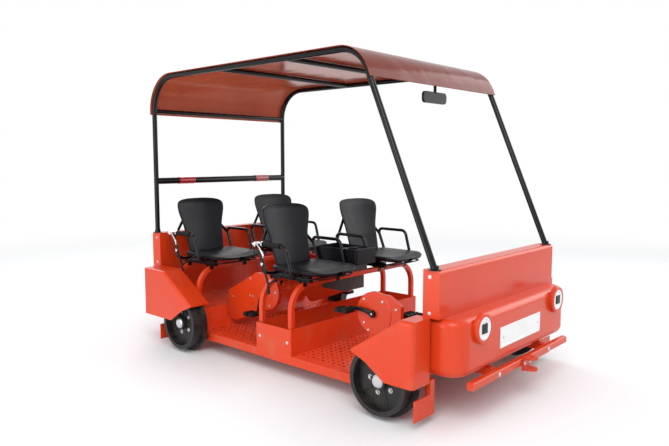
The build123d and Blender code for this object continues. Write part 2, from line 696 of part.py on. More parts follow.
shell = end_upper()
keep("rear_body", shell)
keep("front_body", mirror(shell, about=Plane.XZ))
keep("fairings", *both_ends(fairing()))
keep("fenders", *[f for end in ENDS for f in both_sides(fender(end))])
for name, make in (("lamp_bezels", lamp_bezel), ("lamp_discs", lamp_disc), ("lamp_pupils", lamp_pupil)):
    keep(name, *[piece for s in SIDES.values() for piece in both_ends(make(s * LAMP_X))])
keep("plates", *both_ends(box(-237, 237, FAIRING_Y, FAIRING_Y + 4, 327, 437)))
keep("bumpers", *both_ends(bumper()))
keep("tow_bar", tow_bar())
keep("rail_guards", *[g for end in ENDS for g in both_sides(rail_guard(end))])

keep("crank_cases", *[crank_case(row, side) for row in HIP_Y for side in SIDES])
for row in HIP_Y:
    for side in SIDES:
        crank_set(row, side)

for row, hip in HIP_Y.items():
    for side, s in SIDES.items():
        shell = seat_pan(s * SEAT_X, hip) + seat_back(s * SEAT_X, hip)
        keep("_".join((row, side, "seat")), shell)
        keep("_".join((row, side, "seat_frame")), seat_frame(s * SEAT_X, hip) - shell)
    arm_x = -SEAT_X - LOOP_HALF
    metal = NODES[row + "_right_seat_frame"]
    lever = brake_lever(arm_x, hip) - metal
    keep(row + "_brake_lever", lever)
    keep(row + "_brake_bracket", brake_bracket(arm_x, hip, row) - metal - lever)

keep("console", console())
keep("console_bin", console_bin())
keep("notice_board", box(-250, 250, BULK_T - BULK_Y, BULK_T - BULK_Y + 6, 470, 740))

posts = [roof_side(s * POST_X) for s in SIDES.values()]
rake = (ROOF_FRONT_Y - POST_FRONT_Y) / (ROOF_Z - BODY_TOP)
front_bar_y = POST_FRONT_Y + rake * (FRONT_BAR_Z - BODY_TOP)
rib_at = [(POST_REAR_Y, SHEET_HEM_Z + 27, HEM_R), (450, ROOF_Z, RIB_R), (-165, ROOF_Z, RIB_R),
          (front_bar_y, FRONT_BAR_Z, HEM_R)]
keep("roof_side_tubes", *posts)
keep("roof_ribs", *[between_posts(y, z, r, posts) for y, z, r in rib_at])
keep("roof_sheet", roof_sheet())
keep("rear_cross_bar", between_posts(POST_REAR_Y, CROSS_BAR_Z, CROSS_BAR_R, posts))
wrap = rod_x(-69, 69, POST_REAR_Y, CROSS_BAR_Z, CROSS_BAR_R + 3) - rod_x(-70, 70, POST_REAR_Y, CROSS_BAR_Z, CROSS_BAR_R)
keep("reflectors", Pos(-375, 0, 0) * wrap, Pos(375, 0, 0) * wrap)
keep("mirror", mirror_body(front_bar_y))

for name, shape in NODES.items():
    export_step(shape, "parts/" + name + ".step")
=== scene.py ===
import json
import math

import bmesh
import bpy
import numpy as np
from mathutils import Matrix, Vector


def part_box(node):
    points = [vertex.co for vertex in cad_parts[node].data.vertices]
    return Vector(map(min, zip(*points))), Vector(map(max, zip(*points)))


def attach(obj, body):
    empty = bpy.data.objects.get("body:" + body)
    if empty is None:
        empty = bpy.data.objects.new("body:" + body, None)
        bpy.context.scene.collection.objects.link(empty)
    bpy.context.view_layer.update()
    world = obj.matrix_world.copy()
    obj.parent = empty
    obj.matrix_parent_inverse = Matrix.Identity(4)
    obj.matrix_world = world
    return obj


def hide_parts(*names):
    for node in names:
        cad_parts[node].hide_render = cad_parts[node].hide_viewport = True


bl_info = {
    "name": "Pedal rail car dressing",
    "version": (1, 0, 0),
    "blender": (4, 5, 0),
    "location": "View3D > Sidebar > Rail Car",
    "description": "Dresses the packed pedal rail car with its finishes and small parts",
    "category": "Object",
}

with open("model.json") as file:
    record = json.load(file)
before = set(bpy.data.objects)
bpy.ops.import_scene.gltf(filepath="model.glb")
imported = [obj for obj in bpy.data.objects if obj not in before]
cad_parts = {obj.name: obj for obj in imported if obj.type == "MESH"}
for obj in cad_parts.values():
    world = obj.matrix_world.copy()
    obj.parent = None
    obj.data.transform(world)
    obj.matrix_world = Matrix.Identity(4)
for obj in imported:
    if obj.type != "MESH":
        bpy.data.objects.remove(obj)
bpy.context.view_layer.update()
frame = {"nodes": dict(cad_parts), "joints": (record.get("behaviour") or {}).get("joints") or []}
CAD = frame["nodes"]

ROWS = ("front", "rear")
SIDES = {"right": -1, "left": 1}
ENDS = {"front": -1, "rear": 1}

# sizes that the solids give, in metres

HIPS = {row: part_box(f"{row}_right_seat")[0][1] + 0.430 for row in ROWS}
SEAT_X = 0.365
RAIL_OUT = 0.150
HOOP_Z = 0.554
HOOP_HALF = 0.0162
ARM_X, ARM_Z = -0.608, 0.785
POST_FOOT = (0.632, 1.200, 0.7735)
SLEEVES = {"front": (0.030, 0.487), "rear": (0.019, 0.505)}
SLEEVE_BACK, SLEEVE_LONG = 0.080, 0.058
HOLE_PITCH, HOLE_SIDE, HOLE_EDGE = 0.040, 0.070, 0.024
HOLE_RADII = (0.0075, 0.0055)

# crank cases, from a hub: x of the disc's and the cover's outer faces and inner faces, and the bolts' (y, z)

OUTER_FACES, INNER_FACES = (0.045, 0.041), (0.009, 0.013)
DISC_BOLTS = {"front": ((0.072, 0.074), (-0.062, 0.077), (0.071, -0.063), (0.039, -0.102)),
              "rear": ((-0.005, 0.088), (-0.092, 0.004), (-0.032, -0.094))}
COVER_BOLTS = {"front": ((0.155, 0.045), (0.150, -0.120)),
               "rear": ((0.163, 0.068), (0.168, -0.051), (0.141, -0.055), (0.350, -0.085))}
COVER_BEAD = ((0.343, -0.141), (0.312, -0.150), (0.283, -0.148), (0.255, -0.143), (0.232, -0.135),
              (0.205, -0.150))
SHAFT_HALF = 0.066
COLLAR_OUT, COLLAR_IN = 0.0448, 0.0338

# wheels: distance of the ribs' and the hub caps' feet from the middle

RIB_X, HUB_X = 0.7335, 0.764

# outline of a seat back: share of its height, half width

BACK_OUTLINE = ((0, 0.148), (0.10, 0.154), (0.24, 0.160), (0.38, 0.163), (0.50, 0.171), (0.60, 0.182),
                (0.68, 0.192), (0.76, 0.201), (0.84, 0.204), (0.90, 0.197), (0.945, 0.177), (0.975, 0.143),
                (0.993, 0.099), (1, 0.050))


def srgb(r, g, b):
    """Linear colour of a display colour given in 0 to 255."""
    def lin(c):
        c = c / 255
        return c / 12.92 if c <= 0.04045 else ((c + 0.055) / 1.055) ** 2.4
    return (lin(r), lin(g), lin(b), 1.0)


# shader helpers


def add_node(tree, kind, settings=None, values=None):
    """One node: its settings first, then its sockets' values or links."""
    made = tree.nodes.new(kind)
    for key, value in (settings or {}).items():
        setattr(made, key, value)
    for key, value in (values or {}).items():
        if isinstance(value, bpy.types.NodeSocket):
            tree.links.new(value, made.inputs[key])
        else:
            made.inputs[key].default_value = value
    return made


class Sock:
    """A shader value: arithmetic on it adds Math nodes."""

    def __init__(self, finish, out):
        self.finish = finish
        self.out = out

    def math(self, operation, *others, clamp=False):
        return self.finish.value("ShaderNodeMath", {"operation": operation, "use_clamp": clamp},
                                 dict(enumerate((self,) + others)))

    def __add__(self, other):
        return self.math("ADD", other)

    def __sub__(self, other):
        return self.math("SUBTRACT", other)

    def __rsub__(self, other):
        return self.finish.value("ShaderNodeMath", {"operation": "SUBTRACT"}, {0: other, 1: self})

    def __mul__(self, other):
        return self.math("MULTIPLY", other)

    def __pow__(self, other):
        return self.math("POWER", other)

    __radd__ = __add__
    __rmul__ = __mul__

    def clamped(self):
        return self.math("ADD", 0.0, clamp=True)


class Finish:
    """One node material under construction."""

    def __init__(self, name):
        self.material = bpy.data.materials.new(name)
        self.material.use_nodes = True
        self.tree = self.material.node_tree
        self.tree.nodes.clear()
        self.output = self.node("ShaderNodeOutputMaterial")
        where = self.node("ShaderNodeTexCoord")
        self.place = Sock(self, where.outputs["Object"])
        self.normal = Sock(self, where.outputs["Normal"])

    def node(self, kind, settings=None, values=None):
        sockets = {k: v.out if isinstance(v, Sock) else v for k, v in (values or {}).items()}
        return add_node(self.tree, kind, settings, sockets)

    def value(self, kind, settings, values, out=0):
        return Sock(self, self.node(kind, settings, values).outputs[out])

    def split(self, vector=None):
        node = self.node("ShaderNodeSeparateXYZ", None, {0: vector or self.place})
        return [Sock(self, o) for o in node.outputs]

    def scaled(self, x, y, z, turn=(0, 0, 0)):
        return self.value("ShaderNodeMapping", None, {
            "Vector": self.place, "Scale": (x, y, z), "Rotation": turn})

    def noise(self, scale, detail, rough, at=None, bend=0.0):
        return self.value("ShaderNodeTexNoise", None, {
            "Vector": at or self.place, "Scale": scale, "Detail": detail, "Roughness": rough,
            "Distortion": bend})

    def cells(self, scale):
        return self.value("ShaderNodeTexVoronoi", None, {"Vector": self.place, "Scale": scale}, "Distance")

    def step(self, value, low, high):
        return self.value("ShaderNodeMapRange", {"interpolation_type": "SMOOTHSTEP"}, {
            "Value": value, "From Min": low, "From Max": high, "To Min": 0.0, "To Max": 1.0})

    def mix(self, factor, a, b):
        return self.value("ShaderNodeMix", {"data_type": "RGBA"}, {0: factor, 6: a, 7: b}, 2)

    def bump(self, height, strength, distance):
        return self.value("ShaderNodeBump", None, {
            "Height": height, "Strength": strength, "Distance": distance})

    def principled(self, **values):
        named = {key.replace("_", " "): value for key, value in values.items()}
        node = self.node("ShaderNodeBsdfPrincipled", None, named)
        self.tree.links.new(node.outputs[0], self.output.inputs[0])
        return self.material


def coat(name):
    """A finish that an earlier step has made."""
    return bpy.data.materials[name]


def shade(colour, factor, lift=0.0):
    """A colour scaled by a factor and lifted, with full alpha."""
    return tuple(factor * c + lift for c in colour[:3]) + (1.0,)


def orange_paint():
    """Gloss orange enamel: slow tone drift, dust low down and in patches, fine orange peel."""
    f = Finish("orange enamel")
    base = shade(bpy.context.scene.railcar_paint.orange, 1)
    drift = f.step(f.noise(2.3, 4, 0.6), 0.35, 0.7)
    colour = f.mix(drift * 0.35, base, shade(base, 0.82))
    low = 1 - f.step(f.split()[2], 0.10, 0.42)
    dust = f.step(f.noise(9.0, 6, 0.68), 0.47, 0.72)
    colour = f.mix((dust * (low * 0.30 + 0.05)).clamped(), colour, srgb(176, 120, 88))
    scuff = f.step(f.noise(30.0, 5, 0.7, at=f.scaled(1.0, 0.18, 1.0)), 0.66, 0.74)
    colour = f.mix(scuff * 0.16, colour, srgb(140, 52, 30))
    rough = 0.25 + f.noise(16, 4, 0.6) * 0.12 + dust * low * 0.25
    peel = f.noise(420.0, 1, 0.5)
    return f.principled(Base_Color=colour, Roughness=rough, Coat_Weight=0.18, Coat_Roughness=0.10,
                        Specular_IOR_Level=0.30, Normal=f.bump(peel, 0.06, 0.001))


def worn_orange_with_painted_light():
    """Floor enamel: scuffed by shoes, with pale scratches and patches of dust; its base is painted lighter
    than the body enamel as painted light, and its hole walls are painted dark as painted shade.
    """
    f = Finish("orange deck enamel")
    # painted light: the deck's base is the body enamel lifted 1.18 times, brighter to make up for the shade
    # that falls on it inside the car
    base = shade(bpy.context.scene.railcar_paint.orange, 1.18, 0.006)
    drift = f.step(f.noise(3.1, 5, 0.6), 0.35, 0.7)
    colour = f.mix(drift * 0.3, base, shade(base, 0.84))
    grime = f.step(f.noise(6.0, 8, 0.7), 0.48, 0.75)
    colour = f.mix(grime * 0.24, colour, srgb(176, 104, 76))
    streak = f.step(f.noise(55.0, 3, 0.6, at=f.scaled(1.0, 0.12, 1.0, (0, 0, 0.5))), 0.64, 0.70)
    colour = f.mix(streak * 0.20, colour, srgb(226, 128, 90))
    rough = 0.19 + grime * 0.26 + f.noise(24, 3, 0.5) * 0.08
    x, _, z = f.split()
    nz = f.split(f.normal)[2]
    # painted shade: near-upright faces below the deck top (the hole walls and collars) are darkened almost
    # to black, standing in for the shaded ground seen through the holes
    hole_wall_shade = (1 - f.step(nz.math("ABSOLUTE"), 0.3, 0.6)) * (1 - f.step(x.math("ABSOLUTE"), 0.58, 0.60))
    hole_wall_shade = hole_wall_shade * (1 - f.step(z, 0.1351, 0.1355))
    colour = f.mix(hole_wall_shade * 0.92, colour, srgb(30, 12, 8))
    peel = f.noise(380.0, 1, 0.5)
    return f.principled(Base_Color=colour, Roughness=rough, Coat_Weight=0.25, Coat_Roughness=0.12,
                        Specular_IOR_Level=0.42, Normal=f.bump(peel + streak * -0.4, 0.08, 0.001))


def black_gloss():
    """Gloss black enamel on tube, with faint dust and small chips."""
    f = Finish("black gloss enamel")
    dust = f.step(f.noise(14.0, 6, 0.65), 0.5, 0.78)
    chips = f.step(f.cells(70.0), 0.06, 0.03)
    colour = f.mix(dust * 0.10, srgb(9, 9, 11), srgb(72, 68, 64))
    colour = f.mix(chips * 0.12, colour, srgb(104, 96, 88))
    rough = 0.17 + dust * 0.18
    return f.principled(Base_Color=colour, Roughness=rough, Specular_IOR_Level=0.26,
                        Normal=f.bump(f.noise(260.0, 1, 0.5), 0.05, 0.001))


def black_plastic():
    """Moulded black polypropylene: fine leather grain and a soft sheen."""
    f = Finish("black moulded plastic")
    grain = f.cells(900.0)
    wear = f.step(f.noise(7.0, 5, 0.6), 0.45, 0.8)
    colour = f.mix(wear * 0.35, srgb(13, 15, 21), srgb(28, 31, 40))
    rough = 0.36 + wear * 0.16
    return f.principled(Base_Color=colour, Roughness=rough, Specular_IOR_Level=0.20,
                        Normal=f.bump(grain, 0.12, 0.0006))


def rubber_black():
    """Matt black rubber with a little grey dust."""
    f = Finish("black rubber")
    dust = f.step(f.noise(22.0, 5, 0.6), 0.5, 0.8)
    colour = f.mix(dust * 0.22, srgb(13, 13, 14), srgb(58, 56, 53))
    return f.principled(Base_Color=colour, Roughness=0.60 + dust * 0.2, Specular_IOR_Level=0.3,
                        Normal=f.bump(f.noise(500.0, 2, 0.5), 0.15, 0.0008))


def wheel_coating():
    """Dark wheel coating with patches of road dirt."""
    f = Finish("dark wheel coating")
    dirt = f.step(f.noise(18.0, 7, 0.7), 0.42, 0.75)
    colour = f.mix(dirt * 0.5, srgb(24, 23, 24), srgb(74, 61, 52))
    return f.principled(Base_Color=colour, Roughness=0.45 + dirt * 0.35, Metallic=0.15,
                        Normal=f.bump(f.noise(160.0, 4, 0.6), 0.18, 0.001))


def bright_steel():
    """Zinc-bright steel with fine drawing lines and dull spots."""
    f = Finish("bright steel")
    lines = f.noise(90.0, 2, 0.5, at=f.scaled(0.04, 1.0, 1.0))
    spots = f.step(f.noise(60.0, 5, 0.7), 0.55, 0.8)
    colour = f.mix(spots * 0.35, srgb(205, 205, 208), srgb(138, 132, 126))
    return f.principled(Base_Color=colour, Metallic=0.95, Roughness=0.24 + lines * 0.12 + spots * 0.25)


def chrome_bright():
    """Polished alloy of the brake levers."""
    f = Finish("polished alloy")
    haze = f.step(f.noise(40.0, 4, 0.6), 0.5, 0.8)
    return f.principled(Base_Color=f.mix(haze * 0.3, srgb(226, 226, 230), srgb(176, 176, 180)), Metallic=1.0,
                        Roughness=0.12 + haze * 0.2)


def white_enamel():
    """White plate enamel, slightly yellowed and dusty in patches."""
    f = Finish("white enamel")
    age = f.step(f.noise(11.0, 6, 0.65), 0.45, 0.8)
    colour = f.mix(age * 0.25, srgb(236, 236, 234), srgb(196, 190, 178))
    return f.principled(Base_Color=colour, Roughness=0.28 + age * 0.2, Coat_Weight=0.2)


def roof_sheet_finish():
    """Bronze translucent sheet: streaks along the roll, its outer side painted darker as painted shade and
    its inner side painted a lighter red-brown as painted light shining through it.

    The outer side is where the normal points away from the canopy's middle line."""
    f = Finish("bronze translucent sheet")
    streak = f.noise(7.0, 4, 0.6, at=f.scaled(1.0, 0.15, 0.15))
    cloud = f.step(f.noise(2.6, 5, 0.6), 0.35, 0.75)
    colour = f.mix(cloud * 0.5, srgb(180, 74, 44), srgb(146, 50, 32))
    colour = f.mix(streak * 0.25, colour, srgb(204, 108, 68))
    _, y, z = f.split()
    _, ny, nz = f.split(f.normal)
    # painted light and shade: faces on the inner side get the lighter colour of light shining through, faces
    # on the outer side a darker copy
    outer = f.step(ny * (y - 0.15) + nz * (z - 1.55), 0.0, 0.04)
    colour = f.mix(outer, colour, f.mix(cloud * 0.5, srgb(134, 56, 42), srgb(108, 44, 36)))
    wave = f.noise(3.2, 2, 0.4, at=f.scaled(1.0, 0.6, 1.0), bend=0.8)
    return f.principled(Base_Color=colour, Roughness=0.14 + streak * 0.08, Alpha=0.94 + cloud * 0.04,
                        Transmission_Weight=0.30, IOR=1.3, Specular_IOR_Level=0.20, Coat_Weight=0.06,
                        Coat_Roughness=0.06, Normal=f.bump(wave, 0.35, 0.03))


def reflector_finish():
    """Red reflector: a fine prism grid under a clear face."""
    f = Finish("red prism reflector")
    prism = f.cells(150.0)
    colour = f.mix(f.step(prism, 0.2, 0.7), srgb(206, 26, 22), srgb(120, 6, 8))
    return f.principled(Base_Color=colour, Roughness=0.12, Coat_Weight=0.8, Coat_Roughness=0.04,
                        Normal=f.bump(prism, 0.5, 0.002))


def brown_plastic():
    """Dark brown moulded bin."""
    f = Finish("dark brown plastic")
    wear = f.step(f.noise(9.0, 5, 0.6), 0.45, 0.8)
    colour = f.mix(wear * 0.4, srgb(44, 33, 31), srgb(70, 55, 50))
    return f.principled(Base_Color=colour, Roughness=0.36 + wear * 0.15,
                        Normal=f.bump(f.cells(700.0), 0.1, 0.0006))


def mirror_glass():
    """Silvered glass."""
    f = Finish("silvered glass")
    haze = f.step(f.noise(30.0, 3, 0.5), 0.55, 0.9)
    return f.principled(Base_Color=srgb(222, 225, 230), Metallic=1.0, Roughness=0.03 + haze * 0.08)


# mesh helpers


class Shell:
    """Grids of points gathered into one mesh."""

    def __init__(self):
        self.points = []
        self.faces = []
        self.count = 0

    def grid(self, p, around=False, along=False):
        """Quads over an (n, m, 3) grid; around closes the second axis and along closes the first."""
        n, m = p.shape[:2]
        i = np.arange(n if along else n - 1)[:, None]
        j = np.arange(m if around else m - 1)[None, :]
        i2, j2 = (i + 1) % n, (j + 1) % m
        corners = np.broadcast_arrays(i * m + j, i2 * m + j, i2 * m + j2, i * m + j2)
        quads = np.stack(corners, -1).reshape(-1, 4)
        self.points.append(p.reshape(-1, 3))
        self.faces.append(quads + self.count)
        self.count += n * m
        return self

    def build(self, name, finish, body, slot, sharp=35.0, hides=()):
        """The mesh object: doubles merged, faces turned outwards, smooth except past the sharp angle."""
        mesh = bpy.data.meshes.new(name)
        mesh.from_pydata(np.concatenate(self.points).tolist(), [], np.concatenate(self.faces).tolist())
        bm = bmesh.new()
        bm.from_mesh(mesh)
        bmesh.ops.remove_doubles(bm, verts=bm.verts, dist=1e-6)
        bmesh.ops.dissolve_degenerate(bm, dist=1e-7, edges=bm.edges)
        bmesh.ops.recalc_face_normals(bm, faces=bm.faces)
        bm.to_mesh(mesh)
        bm.free()
        mesh.shade_smooth()
        mesh.set_sharp_from_angle(angle=math.radians(sharp))
        mesh.materials.append(finish)
        piece = bpy.data.objects.new(name, mesh)
        bpy.context.scene.collection.objects.link(piece)
        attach(piece, body)
        if hides:
            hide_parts(*hides)
        return piece


def closed(p):
    """An (n, m, 3) grid with a ring added at each end, all of it at the middle of that end."""
    ends = [np.repeat(p[k:k + 1].mean(axis=1, keepdims=True), p.shape[1], axis=1) for k in (0, -1)]
    return np.concatenate([ends[0], p, ends[1]])


def frame_of(direction):
    """A direction as a unit vector, and two unit vectors at right angles to it."""
    d = np.asarray(direction, float)
    d = d / np.linalg.norm(d)
    side = np.cross(d, (0.0, 0.0, 1.0) if abs(d[2]) < 0.9 else (1.0, 0.0, 0.0))
    side = side / np.linalg.norm(side)
    return d, side, np.cross(d, side)


def lathe(shell, origin, axis, profile, n=32):
    """Profile points (radius, height) carried round an axis; closed where the radius is 0."""
    d, u, v = frame_of(axis)
    r, h = np.array(profile, float).T
    t = np.linspace(0, 2 * np.pi, n, endpoint=False)
    ring = np.cos(t)[None, :, None] * u + np.sin(t)[None, :, None] * v
    p = np.asarray(origin) + r[:, None, None] * ring + h[:, None, None] * d
    return shell.grid(p, around=True)


def pipe(shell, path, radius, n=16, flat=1.0, up=None):
    """A round (or flattened) section carried along a path, its ends closed.

    Each ring stands at right angles to the path's own direction; its first axis is held near up."""
    c = np.asarray(path, float)
    t = np.gradient(c, axis=0)
    t = t / np.linalg.norm(t, axis=1)[:, None]
    ref = np.asarray(up if up is not None else (0.31, 0.17, 0.93), float)
    a = ref - (t @ ref)[:, None] * t
    a = a / np.linalg.norm(a, axis=1)[:, None]
    b = np.cross(t, a)
    r = np.concatenate([[0.0], np.broadcast_to(radius, (len(c),)), [0.0]])
    c, a, b = (np.vstack([q[:1], q, q[-1:]]) for q in (c, a, b))
    w = np.linspace(0, 2 * np.pi, n, endpoint=False)
    p = c[:, None] + r[:, None, None] * (np.cos(w)[None, :, None] * a[:, None] * flat
                                          + np.sin(w)[None, :, None] * b[:, None])
    return shell.grid(p, around=True)


def curve(points, n=40):
    """A smooth run through the given points: Catmull-Rom, evenly spread between them."""
    p = np.asarray(points, float)
    p = np.vstack([2 * p[0] - p[1], p, 2 * p[-1] - p[-2]])
    spans = len(p) - 3
    s = np.linspace(0, spans - 1e-9, n)
    i = s.astype(int)
    t = (s - i)[:, None]
    a, b, c, d = p[i], p[i + 1], p[i + 2], p[i + 3]
    square, cube = 2 * a - 5 * b + 4 * c - d, 3 * b - a - 3 * c + d
    return 0.5 * (2 * b + (c - a) * t + square * t ** 2 + cube * t ** 3)


def rounded_block(shell, low, high, r, n=6):
    """A box with rounded edges: a sphere's grid pushed out to the box's inner corners."""
    low, high = np.asarray(low, float), np.asarray(high, float)
    q = np.linspace(0, np.pi / 2, n)
    lat = np.concatenate([q - np.pi / 2, q])
    lon = np.concatenate([q + k * np.pi / 2 for k in range(4)])
    s_lat = np.concatenate([-np.ones(n), np.ones(n)])
    s_x = np.repeat([1, -1, -1, 1], n)
    s_y = np.repeat([1, 1, -1, -1], n)
    mid, half = (low + high) / 2, (high - low) / 2 - r
    nx = np.cos(lat)[:, None] * np.cos(lon)[None]
    ny = np.cos(lat)[:, None] * np.sin(lon)[None]
    nz = np.sin(lat)[:, None] * np.ones(4 * n)[None]
    p = np.stack([mid[0] + half[0] * s_x[None] + r * nx,
                  mid[1] + half[1] * s_y[None] + r * ny,
                  mid[2] + half[2] * s_lat[:, None] + r * nz], -1)
    return shell.grid(closed(p), around=True)


def bolt(shell, at, axis, r=0.006, h=0.005, washer=1.6, n=12):
    """A domed bolt head on its washer."""
    profile = [(0, -0.001), (r * washer, -0.001), (r * washer, 0.0012), (r * 1.05, 0.0014), (r, h * 0.55),
               (r * 0.75, h * 0.9), (0, h)]
    return lathe(shell, at, axis, profile, n)


def squared(x, power):
    """A sine or cosine pushed towards -1 and 1: its sign times its size to a power below 1."""
    return np.sign(x) * np.abs(x) ** power


def smooth(x, low, high):
    """0 below low, 1 above high, with a soft turn between."""
    t = np.clip((x - low) / (high - low), 0, 1)
    return t * t * (3 - 2 * t)


# settings


def setting(name, text, default, **how):
    """One number of a group: a length unless how says otherwise."""
    how = how or {"unit": "LENGTH"}
    return bpy.props.FloatProperty(name=name, description=text, default=default, **how)


class RailcarPaint(bpy.types.PropertyGroup):
    orange: bpy.props.FloatVectorProperty(
        name="Body paint", description="Enamel of the body and platform", subtype="COLOR", size=3, min=0,
        max=1, default=srgb(212, 60, 20)[:3])


class RailcarSeats(bpy.types.PropertyGroup):
    back_height: setting("Back height", "Height of the seat back along its slope", 0.414)
    back_lean: setting("Back lean", "Lean of the seat back from upright", math.radians(14), subtype="ANGLE")
    shell: setting("Shell thickness", "Thickness of the moulded seat shell", 0.022)
    ledge: setting("Ledge depth", "How far the curved ledge stands out behind the back", 0.018)
    slot_pitch: setting("Slot pitch", "Distance between the slots low on the seat back", 0.0205)


class RailcarStage(bpy.types.PropertyGroup):
    azimuth: setting("Camera azimuth", "Camera's place round the car, 0 at the front", math.radians(-48),
                     subtype="ANGLE")
    distance: setting("Camera distance", "Camera to the point it looks at", 4.3)
    height: setting("Camera height", "Height of the camera over the ground", 1.30)
    lens: setting("Lens", "Focal length in millimetres", 34.0, precision=1)


# operators


class Dressing(bpy.types.Operator):
    """Base of the dressing operators"""
    bl_options = {"REGISTER"}


class RAILCAR_OT_finishes(Dressing):
    """Give every carried-over node its finish"""
    bl_idname = "railcar.finishes"
    bl_label = "Node finishes"

    def execute(self, context):
        coats = {
            orange_paint(): (
                "underframe axle_boxes front_tray sills hoops front_body rear_body fairings fenders"
                " lamp_bezels bumpers tow_bar rail_guards crank_cases"),
            worn_orange_with_painted_light(): "floor_pan front_ledge rear_ledge",
            black_gloss(): " ".join(["seat_rails roof_side_tubes roof_ribs rear_cross_bar"]
                                    + [f"{row}_{side}_seat_frame" for row in ROWS for side in SIDES]),
            black_plastic(): "console lamp_pupils mirror",
            brown_plastic(): "console_bin",
            wheel_coating(): "front_wheels rear_wheels",
            bright_steel(): "front_axle rear_axle",
            white_enamel(): "lamp_discs plates notice_board",
            roof_sheet_finish(): "roof_sheet",
            reflector_finish(): "reflectors",
        }
        for finish, names in coats.items():
            for name in names.split():
                mesh = CAD[name].data
                mesh.materials.clear()
                mesh.materials.append(finish)
        return {"FINISHED"}


class RAILCAR_OT_deck(Dressing):
    """Press a collar down round each hole of the floor plate; its walls take the deck enamel's painted
    shade, so the holes look dark as if over shaded ground
    """
    bl_idname = "railcar.deck"
    bl_label = "Floor collars"

    def execute(self, context):
        pan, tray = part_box("floor_pan"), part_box("front_tray")
        under = pan[0][2] + 0.0002
        deep = 0.0085
        collars = Shell()
        count = int((pan[1][0] - HOLE_SIDE) // HOLE_PITCH)
        walls = (pan[0][1], tray[0][1], tray[1][1], pan[1][1])
        for y0, y1 in zip(walls[:-1], walls[1:]):
            for k in range(int((y1 - y0 - 2 * HOLE_EDGE) // HOLE_PITCH) + 1):
                for i in range(-count, count + 1):
                    r = HOLE_RADII[(i + k) % 2]
                    lathe(collars, (i * HOLE_PITCH, y1 - HOLE_EDGE - k * HOLE_PITCH, under), (0, 0, -1),
                          [(r, 0), (r - 0.0006, deep), (r + 0.0008, deep), (r + 0.0018, 0), (r, 0)], 12)
        # painted shade: the collars hang under the holes and, darkened by the deck enamel, hide the pale
        # floor below
        collars.build("floor_collars", coat("orange deck enamel"), "chassis", "orange_paint", 60)
        return {"FINISHED"}


